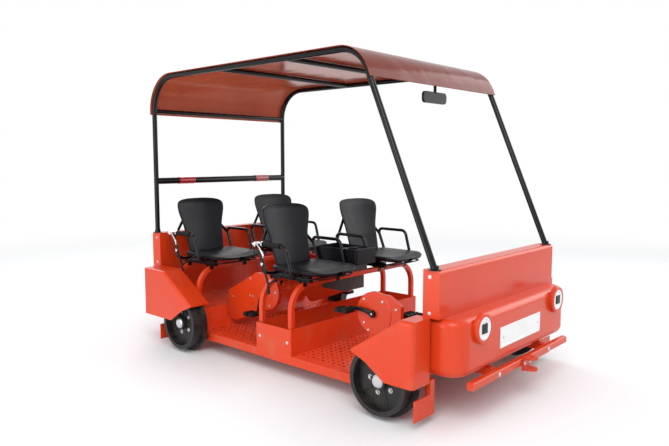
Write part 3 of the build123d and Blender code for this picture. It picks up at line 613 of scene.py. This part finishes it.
class RAILCAR_OT_seats(Dressing):
    """Mould the four seat shells, and the slide release bars and ribs under them"""
    bl_idname = "railcar.seats"
    bl_label = "Seat shells"

    def execute(self, context):
        s = context.scene.railcar_seats
        plastic, black = coat("black moulded plastic"), coat("black gloss enamel")
        for row, hip in HIPS.items():
            for side in SIDES:
                node = f"{row}_{side}_seat"
                low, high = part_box(node)
                x0 = (low[0] + high[0]) / 2
                shell, under = Shell(), Shell()
                self.back(shell, x0, hip, low[2] + 0.014, s)
                self.pan(shell, x0, hip, low[2])
                self.release(under, x0, hip, low[2])
                shell.build(f"{node}_shell", plastic, node, "black_plastic", 40, (node,))
                under.build(f"{row}_{side}_slide_release", black, node, "black_paint")
        return {"FINISHED"}

    def back(self, shell, x0, hip, foot, s):
        """Rows up the back, each a closed ring across it: half width w(v) times a squared-off cosine, and
        front and rear skins either side of a middle surface that is dished across and bowed upwards."""
        crown = 0.86
        turn = np.sin(np.linspace(0, np.pi / 2, 36)[1:])
        v = np.concatenate([np.linspace(0, crown, 90), crown + (1 - crown) * turn])
        width = np.interp(v, *zip(*BACK_OUTLINE))
        width = np.convolve(np.pad(width, 3, mode="edge"), np.ones(7) / 7, "valid")
        t = np.linspace(0, 2 * np.pi, 156, endpoint=False)
        c, k = squared(np.cos(t), 0.55), squared(np.sin(t), 0.45)
        x = width[:, None] * c[None]
        y = (v * s.back_height)[:, None] * np.ones_like(x)
        mid = 0.85 * x ** 2 - 0.009 - 0.004 * np.sin(np.pi * v)[:, None]
        rear = smooth(-k, 0.55, 0.95)[None]
        rim = 1 - smooth(np.abs(x), 0.128, 0.142)
        arc = 0.113 + 0.062 * (x / 0.145) ** 2
        lower = 1 - smooth(y, arc - 0.017, arc + 0.017)
        ledge = s.ledge * lower * smooth(y, -0.01, 0.04) * (1 - 0.6 * smooth(np.abs(x), 0.125, 0.150))
        slots = smooth(np.cos(x / s.slot_pitch * 2 * np.pi), 0.0, 0.5) * smooth(y, 0.010, 0.016)
        slots = slots * (1 - smooth(y, 0.078, 0.084)) * (1 - smooth(np.abs(x), 0.104, 0.107))
        brow = 0.300 - 0.055 * (x / 0.15) ** 2
        below_brow = 1 - smooth(y, brow - 0.010, brow + 0.004)
        recess = 0.006 * rim * smooth(y, arc + 0.012, arc + 0.04) * below_brow
        thick = s.shell / 2 * (1 - 0.45 * smooth(v, 0.97, 1.0))[:, None]
        roll = 0.014 * smooth(v, 0.84, 1.0)[:, None] ** 2
        n = mid + k[None] * thick - roll - rear * (ledge * 0.9 - recess - 0.009 * slots)
        lean = s.back_lean
        up = np.array([0, math.sin(lean), math.cos(lean)])
        out = np.array([0, -math.cos(lean), math.sin(lean)])
        base = np.array([x0, hip - 0.018, foot])
        p = base + x[..., None] * (1, 0, 0) + y[..., None] * up + n[..., None] * out
        shell.grid(closed(p), around=True)

    def pan(self, shell, x0, hip, low):
        """A dished pan: rows from the hip to the front edge, half width w(v) a flattened ellipse, with a rim
        raised by a power of x, a piping groove round it and a rolled lip."""
        v = 0.5 - 0.5 * np.cos(np.linspace(0, np.pi, 72))
        y = hip + 0.008 - 0.434 * v
        e = np.abs(2 * v - 1)
        width = np.maximum(0.204 * (1 - e ** 9) ** (1 / 2.6), 0.02)
        t = np.linspace(0, 2 * np.pi, 168, endpoint=False)
        c, k = squared(np.cos(t), 0.42), squared(np.sin(t), 0.60)
        x = width[:, None] * c[None]
        side = smooth(np.abs(c), 0.90, 0.99)[None]
        piping = np.exp(-((k - 0.42) / 0.10) ** 2) + np.exp(-((k + 0.25) / 0.10) ** 2)
        x = x - np.sign(c)[None] * 0.0022 * side * piping[None]
        rim = 0.018 * np.abs(x / 0.205) ** 2.2
        lip = 0.016 * smooth(v, 0.78, 1.0)[:, None] ** 1.5
        row = smooth(np.cos(y / 0.034 * 2 * np.pi), 0.0, 0.5) * smooth(v, 0.12, 0.2)
        row = row * (1 - smooth(v, 0.72, 0.8))
        ribs = 0.0022 * row[:, None] * (1 - smooth(np.abs(x), 0.11, 0.13))
        floor = low + 0.001 + 0.006 * side
        top = low + 0.0335 + rim - lip
        z = (floor + top) / 2 + k[None] * (top - floor) / 2 + ribs * smooth(k, 0.6, 0.95)[None]
        p = np.stack([x0 + x, y[:, None] * np.ones_like(x), z], -1)
        shell.grid(closed(p), around=True)

    def release(self, shell, x0, hip, low):
        """A towel-bar handle under the pan's front edge, and cross ribs over the base bars."""
        z = low - 0.015
        half = [(0.168, 0.235), (0.168, 0.335), (0.155, 0.388), (0.100, 0.402)]
        route = [(-a, b) for a, b in half] + [(0, 0.404)] + half[::-1]
        pipe(shell, curve([(x0 + a, hip - b, z) for a, b in route], 70), 0.0048, 14)
        for k in range(7):
            y = hip - 0.225 + 0.032 * k
            rounded_block(shell, (x0 - 0.138, y - 0.004, low - 0.013), (x0 + 0.138, y + 0.004, low + 0.0015),
                          0.002, 3)
        for s in (-1, 1):
            rounded_block(shell, (x0 + s * 0.075 - 0.010, hip - 0.236, low - 0.016),
                          (x0 + s * 0.075 + 0.010, hip - 0.020, low - 0.008), 0.003, 3)


class RAILCAR_OT_cranks(Dressing):
    """Forge the curved crank arms and build the pedals and cover bolts"""
    bl_idname = "railcar.cranks"
    bl_label = "Cranks and pedals"

    def execute(self, context):
        black, steel, enamel = coat("black gloss enamel"), coat("bright steel"), coat("orange enamel")
        rubber = rubber_black()
        heads, beads, collars = Shell(), Shell(), Shell()
        joints = {j["name"]: j for j in frame["joints"]}
        for row in ROWS:
            e = ENDS[row]
            for side, s in SIDES.items():
                key = f"{row}_{side}"
                hub = np.array(joints[f"{key}_crank_turn"]["pos_m"])
                arms, caps = Shell(), Shell()
                pipe(arms, [hub - (SHAFT_HALF, 0, 0), hub + (SHAFT_HALF, 0, 0)], 0.0098, 20)
                for place, t in (("outer", s), ("inner", -s)):
                    eye = np.array(joints[f"{key}_{place}_pedal_turn"]["pos_m"])
                    self.arm(arms, hub, eye, t)
                    bolt(caps, hub + (t * (SHAFT_HALF + 0.0002), 0, 0), (t, 0, 0), 0.0052, 0.0034, 1.25, 16)
                    self.pedal(f"{key}_{place}_pedal", eye, t, rubber, steel)
                arms.build(f"{key}_crank_arms", black, f"{key}_crank", "black_paint", 40, (f"{key}_crank",))
                caps.build(f"{key}_crank_caps", steel, f"{key}_crank", "bright_steel")
                for face, (disc, cover) in ((s, OUTER_FACES), (-s, INNER_FACES)):
                    for dy, dz in DISC_BOLTS[row]:
                        bolt(heads, hub + (s * disc, dy, dz), (face, 0, 0), 0.0070, 0.0046, 1.15, 16)
                    for dy, dz in COVER_BOLTS[row]:
                        bolt(heads, hub + (s * cover, e * dy, dz), (face, 0, 0), 0.0066, 0.0046, 1.15, 16)
                    if row == "rear":
                        bead = curve([hub + (s * cover, dy, dz) for dy, dz in COVER_BEAD], 40)
                        thick = 0.0004 + 0.0020 * np.sin(np.pi * np.linspace(0, 1, 40)) ** 0.5
                        pipe(beads, bead, thick, 10, flat=0.6, up=(1, 0, 0))
                lathe(collars, hub + (s * COLLAR_OUT, 0, 0), (s, 0, 0),
                      [(0.0125, 0), (0.030, 0), (0.030, 0.0016), (0.027, 0.0040), (0.0125, 0.0040)], 36)
                lathe(collars, hub - (s * COLLAR_IN, 0, 0), (-s, 0, 0),
                      [(0.0125, 0), (0.0235, 0), (0.0225, 0.0022), (0.0125, 0.0022)], 32)
        heads.build("crank_cover_bolts", steel, "chassis", "bright_steel")
        collars.build("crank_collars", enamel, "chassis", "orange_paint")
        beads.build("crank_cover_beads", enamel, "chassis", "orange_paint")
        return {"FINISHED"}

    def arm(self, shell, hub, eye, t):
        """A flat oval section that narrows from the boss to the pedal eye, bowed away from the cover."""
        a = hub + (t * 0.058, 0, 0)
        b = np.array([hub[0] + t * 0.060, *eye[1:]])
        u = np.linspace(0, 1, 34)[:, None]
        side = np.array([0, -(b - a)[2], (b - a)[1]])
        side = side / np.linalg.norm(side)
        path = a + (b - a) * u + (side * 0.012 + (t * 0.004, 0, 0)) * np.sin(np.pi * u)
        wide = 0.0122 + 0.0058 * np.exp(-u[:, 0] / 0.22) + 0.0010 * np.exp(-(1 - u[:, 0]) / 0.08)
        pipe(shell, path, wide, 20, flat=0.46, up=(t, 0, 0))
        lathe(shell, hub + (t * 0.051, 0, 0), (t, 0, 0),
              [(0, 0), (0.0190, 0), (0.0222, 0.003), (0.0222, 0.0110), (0.0195, 0.0150), (0.0085, 0.0158),
               (0.0078, 0.0135), (0, 0.0135)], 32)
        lathe(shell, b - (t * 0.0085, 0, 0), (t, 0, 0),
              [(0, 0), (0.0120, 0), (0.0140, 0.003), (0.0140, 0.012), (0.0115, 0.0152), (0, 0.0152)], 24)
        pipe(shell, [b, b + (t * 0.1045, 0, 0)], 0.0058, 16)

    def pedal(self, node, eye, t, rubber, steel):
        """Two ribbed treads and end plates round a barrel that turns on the arm's pin."""
        low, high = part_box(node)
        _, y, z = eye
        x0, x1 = low[0], high[0]
        body = Shell()
        ring = [(0.0066, 0), (0.0125, 0), (0.0105, 0.010), (0.0105, x1 - x0 - 0.010), (0.0125, x1 - x0),
                (0.0066, x1 - x0), (0.0066, 0)]
        lathe(body, (x0, y, z), (1, 0, 0), ring, 24)
        for e in (-1, 1):
            y0, y1 = sorted((y + e * 0.020, y + e * 0.0455))
            rounded_block(body, (x0 + 0.003, y0, z - 0.0115), (x1 - 0.003, y1, z + 0.0115), 0.004)
            for k in range(6):
                xr = x0 + 0.010 + k * (x1 - x0 - 0.020) / 5
                rounded_block(body, (xr - 0.0035, y0 - 0.0006, z - 0.012),
                              (xr + 0.0035, y1 + 0.0003, z + 0.012), 0.0015, 3)
        for xe in (x0 + 0.004, x1 - 0.004):
            for e in (-1, 1):
                y0, y1 = sorted((y + e * 0.009, y + e * 0.024))
                rounded_block(body, (xe - 0.004, y0, z - 0.008), (xe + 0.004, y1, z + 0.008), 0.0015, 3)
        body.build(f"{node}_treads", rubber, node, "black_plastic", 40, (node,))
        cap = Shell()
        outer = x1 if t > 0 else x0
        lathe(cap, (outer - t * 0.001, y, z), (t, 0, 0),
              [(0.0072, 0), (0.0105, 0), (0.0100, 0.0010), (0.0072, 0.0010)], 18)
        cap.build(f"{node}_cap", steel, node, "bright_steel")


class RAILCAR_OT_wheels(Dressing):
    """Add hub caps, bolt circles and ribs to the wheels"""
    bl_idname = "railcar.wheels"
    bl_label = "Wheel hubs"

    def execute(self, context):
        steel, dull = coat("bright steel"), coat("dark wheel coating")
        u = np.linspace(0, 1, 12)[:, None]
        for end in ENDS:
            low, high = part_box(f"{end}_axle")
            y, z = (low[1] + high[1]) / 2, (low[2] + high[2]) / 2
            caps, ribs = Shell(), Shell()
            for s in (-1, 1):
                lathe(caps, (s * HUB_X, y, z), (s, 0, 0),
                      [(0.0205, 0), (0.034, 0), (0.034, 0.006), (0.027, 0.0115), (0, 0.0125)], 32)
                for k, a in enumerate(np.radians(np.arange(0, 360, 36))):
                    d = np.array([0, math.cos(a), math.sin(a)])
                    if k % 2:
                        pipe(ribs, (s * RIB_X, y, z) + d * (0.047 + 0.098 * u), 0.010 - 0.004 * u[:, 0], 12,
                             flat=0.7, up=(1, 0, 0))
                    else:
                        bolt(caps, (s * (RIB_X + 0.001), y, z) + d * 0.072, (s, 0, 0), 0.0085, 0.008)
            caps.build(f"{end}_hub_caps", steel, f"{end}_wheelset", "bright_steel")
            ribs.build(f"{end}_wheel_ribs", dull, f"{end}_wheelset", "wheel_black")
        return {"FINISHED"}


class RAILCAR_OT_fittings(Dressing):
    """Fit bolts, clamps, plate frames, mirror glass, brake grips and roof fixings"""
    bl_idname = "railcar.fittings"
    bl_label = "Fittings"

    def execute(self, context):
        self.rails()
        self.plates()
        self.roof()
        self.brakes()
        self.console()
        self.body_bolts()
        return {"FINISHED"}

    def rails(self):
        """Saddle straps that hold the rails to the hoops, and the rails' rows of locking teeth."""
        black = coat("black gloss enamel")
        clamps, teeth = Shell(), Shell()
        low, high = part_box("seat_rails")
        z0, z1 = low[2] + 0.001, high[2] - 0.001
        for hip in HIPS.values():
            for x in (s * SEAT_X + out for s in (-1, 1) for out in (-RAIL_OUT, RAIL_OUT)):
                for y in (hip + 0.002, hip - 0.257):
                    self.saddle(clamps, x, y)
                for k in range(26):
                    yt = hip - 0.318 + k * 0.0132
                    for xt in (x + 0.0135, x - 0.0135):
                        rounded_block(teeth, (xt - 0.002, yt - 0.0035, z0), (xt + 0.002, yt + 0.0035, z1),
                                      0.001, 2)
        clamps.build("hoop_saddles", black, "chassis", "black_paint")
        teeth.build("rail_teeth", black, "chassis", "black_paint")

    def saddle(self, shell, x, y):
        """A U strap round a square hoop: its inner line with rounded corners, the same line moved out by the
        strap's thickness, and a bolted foot on each side."""
        half, r, thick, wide = HOOP_HALF, 0.006, 0.0024, 0.015
        turn = np.linspace(np.pi, 1.5 * np.pi, 6)
        left = np.stack([-half + r + r * np.cos(turn), -half + r + r * np.sin(turn)], -1)
        right = left[::-1] * (-1, 1)
        inner = np.concatenate([[(-half, half - 0.001)], left, right, [(half, half - 0.001)]])
        slope = np.gradient(inner, axis=0)
        away = np.stack([slope[:, 1], -slope[:, 0]], -1)
        outer = inner + thick * away / np.linalg.norm(away, axis=1)[:, None]
        band = np.stack([np.concatenate([np.full((len(q), 1), x + dx), q + (y, HOOP_Z)], 1)
                         for q, dx in ((inner, -wide), (inner, wide), (outer, wide), (outer, -wide))], 1)
        shell.grid(closed(band), around=True)
        z = HOOP_Z + 0.0125
        for e in (-1, 1):
            y0 = y + e * 0.0275
            rounded_block(shell, (x - wide, y0 - 0.0115, z), (x + wide, y0 + 0.0115, z + 0.0034), 0.0012, 3)
            bolt(shell, (x, y0 + e * 0.001, z), (0, 0, -1), 0.005, 0.006)

    def plates(self):
        """Raised rims and screws on the blank plates and the notice board, and rings round the lamps."""
        screws, rims = Shell(), Shell()
        low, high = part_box("plates")
        for e in ENDS.values():
            for x in (low[0] + 0.03, high[0] - 0.03):
                bolt(screws, (x, e * high[1], (low[2] + high[2]) / 2), (0, e, 0), 0.005, 0.003)
            self.rim(rims, high[0], low[2], high[2], e * high[1], e, 0.006)
            for s in (-1, 1):
                lathe(rims, (s * 0.440, e * 1.3695, 0.477), (0, e, 0),
                      [(0.044, 0), (0.058, 0), (0.0605, 0.0015), (0.058, 0.0045), (0.050, 0.0050),
                       (0.044, 0)], 48)
        low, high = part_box("notice_board")
        for x in (low[0] + 0.025, high[0] - 0.025):
            for z in (low[2] + 0.022, high[2] - 0.022):
                bolt(screws, (x, high[1], z), (0, 1, 0), 0.005, 0.003)
        self.rim(rims, high[0], low[2], high[2], high[1], 1, 0.007)
        screws.build("plate_screws", coat("bright steel"), "chassis", "bright_steel")
        rims.build("plate_rims", coat("white enamel"), "chassis", "white_paint", 30)

    def rim(self, shell, half, z0, z1, y, e, w):
        """A rounded bead carried round a rectangle."""
        out = np.array([(-1, -1), (1, -1), (1, 1), (-1, 1)])
        c = (0, (z0 + z1) / 2) + out * (half - w, (z1 - z0) / 2 - w)
        t = np.linspace(0, 2 * np.pi, 12, endpoint=False)
        p = np.empty((4, 12, 3))
        p[..., 0] = c[:, :1] + out[:, :1] * (w * 0.9) * np.cos(t)[None]
        p[..., 2] = c[:, 1:] + out[:, 1:] * (w * 0.9) * np.cos(t)[None]
        p[..., 1] = y + e * 0.0022 * np.sin(t)[None]
        shell.grid(p, around=True, along=True)

    def roof(self):
        """Bolts through the roof sheet's hem, collars round the posts' feet, and the mirror's face."""
        bolts, caps = Shell(), Shell()
        low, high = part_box("roof_sheet")
        for x in (-0.50, 0.0, 0.50):
            bolt(bolts, (x, high[1], low[2] + 0.027), (0, 1, 0), 0.0065, 0.006, 2.2)
        bolts.build("roof_bolts", coat("bright steel"), "chassis", "bright_steel")
        x, y, z = POST_FOOT
        for s in (-1, 1):
            for e in ENDS.values():
                lathe(caps, (s * x, e * y, z), (0, 0, 1),
                      [(0.0172, 0), (0.034, 0), (0.034, 0.004), (0.0215, 0.007), (0.0195, 0.022),
                       (0.0172, 0.022)], 32)
        caps.build("post_collars", coat("black gloss enamel"), "chassis", "black_paint")
        low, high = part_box("mirror")
        glass = Shell()
        y = high[1]
        rounded_block(glass, (-0.112, y - 0.002, low[2] + 0.007), (0.112, y + 0.0012, low[2] + 0.059),
                      0.0012, 3)
        glass.build("mirror_face", mirror_glass(), "chassis", "mirror")

    def brakes(self):
        """Lever set, grip and hanger of each right-hand seat's brake."""
        bright, black, rubber = chrome_bright(), coat("black gloss enamel"), coat("black rubber")
        for row in ROWS:
            self.lever(row, bright)
            self.grip(row, rubber)
            self.hanger(row, black)

    def lever(self, row, finish):
        """Clamp, body, blade and adjuster at the armrest's rear corner, and the belt's anchor bolt below."""
        corner = np.array([ARM_X, HIPS[row], ARM_Z])
        metal = Shell()
        lathe(metal, corner - (0, 0.005, 0), (0, 1, 0),
              [(0.0112, 0), (0.0165, 0), (0.0172, 0.003), (0.0172, 0.012), (0.0165, 0.015), (0.0112, 0.015),
               (0.0112, 0)], 28)
        blade = curve(corner + [(-0.030, 0.040, 0.006), (-0.040, 0.018, 0.005), (-0.046, -0.008, -0.008),
                                (-0.047, -0.034, -0.034), (-0.047, -0.054, -0.062)], 48)
        u = np.linspace(0, 1, 48)
        pipe(metal, blade, 0.0078 - 0.0030 * np.sin(np.pi * u ** 0.8), 16, flat=0.62, up=(1, 0.2, 0.1))
        lathe(metal, blade[-1] + (0, -0.001, -0.008), (0, -0.35, -1),
              [(0, -0.0075), (0.0045, -0.006), (0.0074, 0), (0.0045, 0.006), (0, 0.0075)], 18)
        run = curve(corner + [(-0.004, 0.004, 0.006), (-0.018, 0.018, 0.008), (-0.032, 0.036, 0.004),
                              (-0.036, 0.048, -0.004)], 30)
        pipe(metal, run, 0.0085 + 0.0035 * np.sin(np.pi * np.linspace(0, 1, 30)), 18, flat=0.85)
        lathe(metal, corner + (-0.033, 0.037, -0.013), (0, 0, 1),
              [(0, 0), (0.0072, 0), (0.0078, 0.002), (0.0078, 0.024), (0.0055, 0.027), (0, 0.0275)], 20)
        lathe(metal, corner + (-0.034, 0.044, 0.002), (-0.35, 1, 0.05),
              [(0, 0), (0.0050, 0), (0.0050, 0.004), (0.0066, 0.005), (0.0066, 0.009), (0.0045, 0.010),
               (0.0040, 0.0125), (0, 0.013)], 18)
        bolt(metal, corner + (-0.0105, 0.001, -0.125), (-1, 0, 0), 0.0075, 0.005, 1.5, 16)
        metal.build(f"{row}_lever_set", finish, f"{row}_right_seat", "bright_steel", 40,
                    (f"{row}_brake_lever",))

    def grip(self, row, finish):
        """Grip on the armrest: a pipe with fine square ribs and a collar at each end."""
        s = np.linspace(0, 1, 150)
        rib = 0.0150 + 0.0009 * np.sign(np.sin(s * 40 * np.pi)) * (s > 0.05) * (s < 0.95)
        rib = np.where((s < 0.03) | (s > 0.97), 0.0175, rib)
        y = HIPS[row] - 0.0075 - 0.150 * s
        grip = Shell()
        pipe(grip, np.stack([np.full_like(s, ARM_X), y, np.full_like(s, ARM_Z)], -1), rib, 20)
        grip.build(f"{row}_armrest_grip", finish, f"{row}_right_seat", "black_plastic", 50)

    def hanger(self, row, finish):
        """Two struts from the armrest's loop to the cable's sleeve, a ribbed boot on the sleeve that tapers
        towards its top, and the cable from the lever into it."""
        body, hip, x, z = f"{row}_right_seat", HIPS[row], ARM_X, ARM_Z
        out, low = SLEEVES[row]
        at = np.array([x - out, hip - SLEEVE_BACK, low])
        up = np.array([0, 0, SLEEVE_LONG])
        top = at + up
        hanger = Shell()
        pipe(hanger, [(x - 0.003, hip + 0.0015, 0.665), top], 0.0068, 16)
        pipe(hanger, [top, (x, hip - 0.240, 0.654)], 0.0058, 14)
        k = np.linspace(0, 1, 60)
        boot = 0.0068 + 0.0038 * smooth(1 - k, 0.0, 0.7) + 0.0006 * np.sin(k * 14 * np.pi)
        pipe(hanger, at + up * k[:, None], boot, 18)
        cable = curve([(x - 0.034, hip + 0.045, z - 0.006), (x - 0.033, hip + 0.043, z - 0.060),
                       (x - 0.031, hip + 0.016, 0.656), (x - 0.7 * out, hip - 0.040, 0.602),
                       top + (0, 0, 0.004)], 60)
        pipe(hanger, cable, 0.0030, 12)
        hanger.build(f"{row}_brake_hanger", finish, body, "black_paint", 50, (f"{row}_brake_bracket",))

    def console(self):
        """Rolled lip round the console tray and rings in the cup holders."""
        low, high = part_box("console")
        inset, radius, thick = 0.016, 0.0135, 0.0030
        lips = Shell()
        for x in (-0.050, 0.050):
            lathe(lips, (x, low[1] + 0.075, high[2] - 0.0025), (0, 0, 1),
                  [(0.0392, 0), (0.0448, 0), (0.0462, 0.0018), (0.0448, 0.0034), (0.0410, 0.0034),
                   (0.0392, 0)], 48)
        x0, y0, x1, y1 = low[0] + inset, low[1] + inset, high[0] - inset, high[1] - inset
        t = np.linspace(0, 2 * np.pi, 12, endpoint=False)[:, None]
        ring = []
        for k, (x, y) in enumerate(((x1, y1), (x0, y1), (x0, y0), (x1, y0))):
            for a in np.linspace(0, np.pi / 2, 6) + k * np.pi / 2:
                d = np.array([math.cos(a), math.sin(a), 0])
                centre = (x, y, high[2] - 0.0005) + d * radius
                ring.append(centre + thick * (np.cos(t) * d + np.sin(t) * (0, 0, 1)))
        lips.grid(np.array(ring), around=True, along=True)
        lips.build("console_lips", coat("black moulded plastic"), "chassis", "black_plastic", 60)

    def body_bolts(self):
        """Bolts on the tray's sides, at the posts' panels and on the bumper brackets."""
        heads = Shell()
        for s in (-1, 1):
            for y in (-0.18, 0.065):
                bolt(heads, (s * 0.645, y, 0.215), (s, 0, 0), 0.0065)
            for e in (-1, 1):
                for z in (0.560, 0.740):
                    bolt(heads, (s * 0.650, e * 1.185, z), (s, 0, 0), 0.006)
                bolt(heads, (s * 0.030, e * 1.395, 0.205), (0, e, 0), 0.007)
                bolt(heads, (s * 0.300, e * 1.385, 0.212), (0, e, 0), 0.008)
        heads.build("body_bolts", coat("bright steel"), "chassis", "bright_steel")


class RAILCAR_OT_stage(Dressing):
    """Lay the pale floor and backdrop, and set the lights and the camera"""
    bl_idname = "railcar.stage"
    bl_label = "Stage"

    def execute(self, context):
        scene = context.scene
        scene.view_settings.view_transform = "Standard"
        target = Vector((0.0, 0.02, 0.875))
        self.world(scene)
        self.floor(scene)
        self.lights(scene, target)
        self.camera(scene, target)
        return {"FINISHED"}

    def world(self, scene):
        """A soft sky for the light, and plain white for what the camera and sharp reflections see."""
        world = bpy.data.worlds.new("studio")
        scene.world = world
        world.use_nodes = True
        tree = world.node_tree
        tree.nodes.clear()
        path = add_node(tree, "ShaderNodeLightPath").outputs
        soft = add_node(tree, "ShaderNodeBackground", None, {0: (0.93, 0.96, 1.0, 1), 1: 0.80})
        plain = add_node(tree, "ShaderNodeBackground", None, {0: (1, 1, 1, 1), 1: 1.0})
        seen = path["Is Camera Ray"]
        for ray in ("Is Glossy Ray", "Is Transmission Ray"):
            either = add_node(tree, "ShaderNodeMath", {"operation": "MAXIMUM"}, {0: seen, 1: path[ray]})
            seen = either.outputs[0]
        mix = add_node(tree, "ShaderNodeMixShader", None, {0: seen, 1: soft.outputs[0], 2: plain.outputs[0]})
        add_node(tree, "ShaderNodeOutputWorld", None, {0: mix.outputs[0]})

    def floor(self, scene):
        """A pale square that fades out with the distance from its middle."""
        mesh = bpy.data.meshes.new("studio_floor")
        r = 9.0
        mesh.from_pydata([(-r, -r, 0), (r, -r, 0), (r, r, 0), (-r, r, 0)], [], [(0, 1, 2, 3)])
        floor = bpy.data.objects.new("studio_floor", mesh)
        scene.collection.objects.link(floor)
        f = Finish("studio floor")
        x, y, _ = f.split()
        away = (x * x + y * y) ** 0.5
        mesh.materials.append(f.principled(Base_Color=(0.86, 0.86, 0.86, 1), Roughness=0.9,
                                           Alpha=1 - f.step(away, 2.6, 8.5)))

    def lights(self, scene, target):
        """Four square lamps: name, place, side in metres and power in watts."""
        for name, place, size, power in (
                ("key", (-3.6, -3.2, 4.6), 3.2, 150),
                ("fill", (4.2, -2.6, 3.0), 3.6, 90),
                ("back", (1.5, 4.6, 4.2), 3.4, 120),
                ("low", (-4.2, 0.4, 1.1), 2.4, 46)):
            light = bpy.data.lights.new(name, "AREA")
            light.shape = "SQUARE"
            light.size = size
            light.energy = power
            lamp = bpy.data.objects.new(name, light)
            lamp.location = place
            lamp.rotation_euler = (target - Vector(place)).to_track_quat("-Z", "Y").to_euler()
            scene.collection.objects.link(lamp)

    def camera(self, scene, target):
        s = scene.railcar_stage
        camera = bpy.data.cameras.new("camera")
        camera.lens = s.lens
        camera.sensor_width = 36.0
        eye = bpy.data.objects.new("camera", camera)
        side, ahead = s.distance * math.sin(s.azimuth), s.distance * math.cos(s.azimuth)
        eye.location = (target.x + side, target.y - ahead, s.height)
        eye.rotation_euler = (target - eye.location).to_track_quat("-Z", "Y").to_euler()
        scene.collection.objects.link(eye)
        scene.camera = eye


class RAILCAR_PT_panel(bpy.types.Panel):
    """Sidebar panel with the dressing steps and their settings"""
    bl_idname = "RAILCAR_PT_panel"
    bl_label = "Rail Car"
    bl_space_type = "VIEW_3D"
    bl_region_type = "UI"
    bl_category = "Rail Car"

    def draw(self, context):
        scene = context.scene
        self.layout.prop(scene.railcar_paint, "orange")
        for key in ("back_height", "back_lean", "shell", "ledge", "slot_pitch"):
            self.layout.prop(scene.railcar_seats, key)
        for key in ("azimuth", "distance", "height", "lens"):
            self.layout.prop(scene.railcar_stage, key)
        for operator in OPERATORS:
            self.layout.operator(operator.bl_idname)


GROUPS = {"railcar_paint": RailcarPaint, "railcar_seats": RailcarSeats, "railcar_stage": RailcarStage}
OPERATORS = (RAILCAR_OT_stage, RAILCAR_OT_finishes, RAILCAR_OT_deck, RAILCAR_OT_seats, RAILCAR_OT_cranks,
             RAILCAR_OT_wheels, RAILCAR_OT_fittings)


def register():
    for cls in (*GROUPS.values(), *OPERATORS, RAILCAR_PT_panel):
        bpy.utils.register_class(cls)
    for name, group in GROUPS.items():
        setattr(bpy.types.Scene, name, bpy.props.PointerProperty(type=group))


def unregister():
    for name in GROUPS:
        delattr(bpy.types.Scene, name)
    for cls in reversed((*GROUPS.values(), *OPERATORS, RAILCAR_PT_panel)):
        bpy.utils.unregister_class(cls)


def main():
    register()
    for operator in OPERATORS:
        group, name = operator.bl_idname.split(".")
        getattr(getattr(bpy.ops, group), name)()


if __name__ == "__main__":
    main()
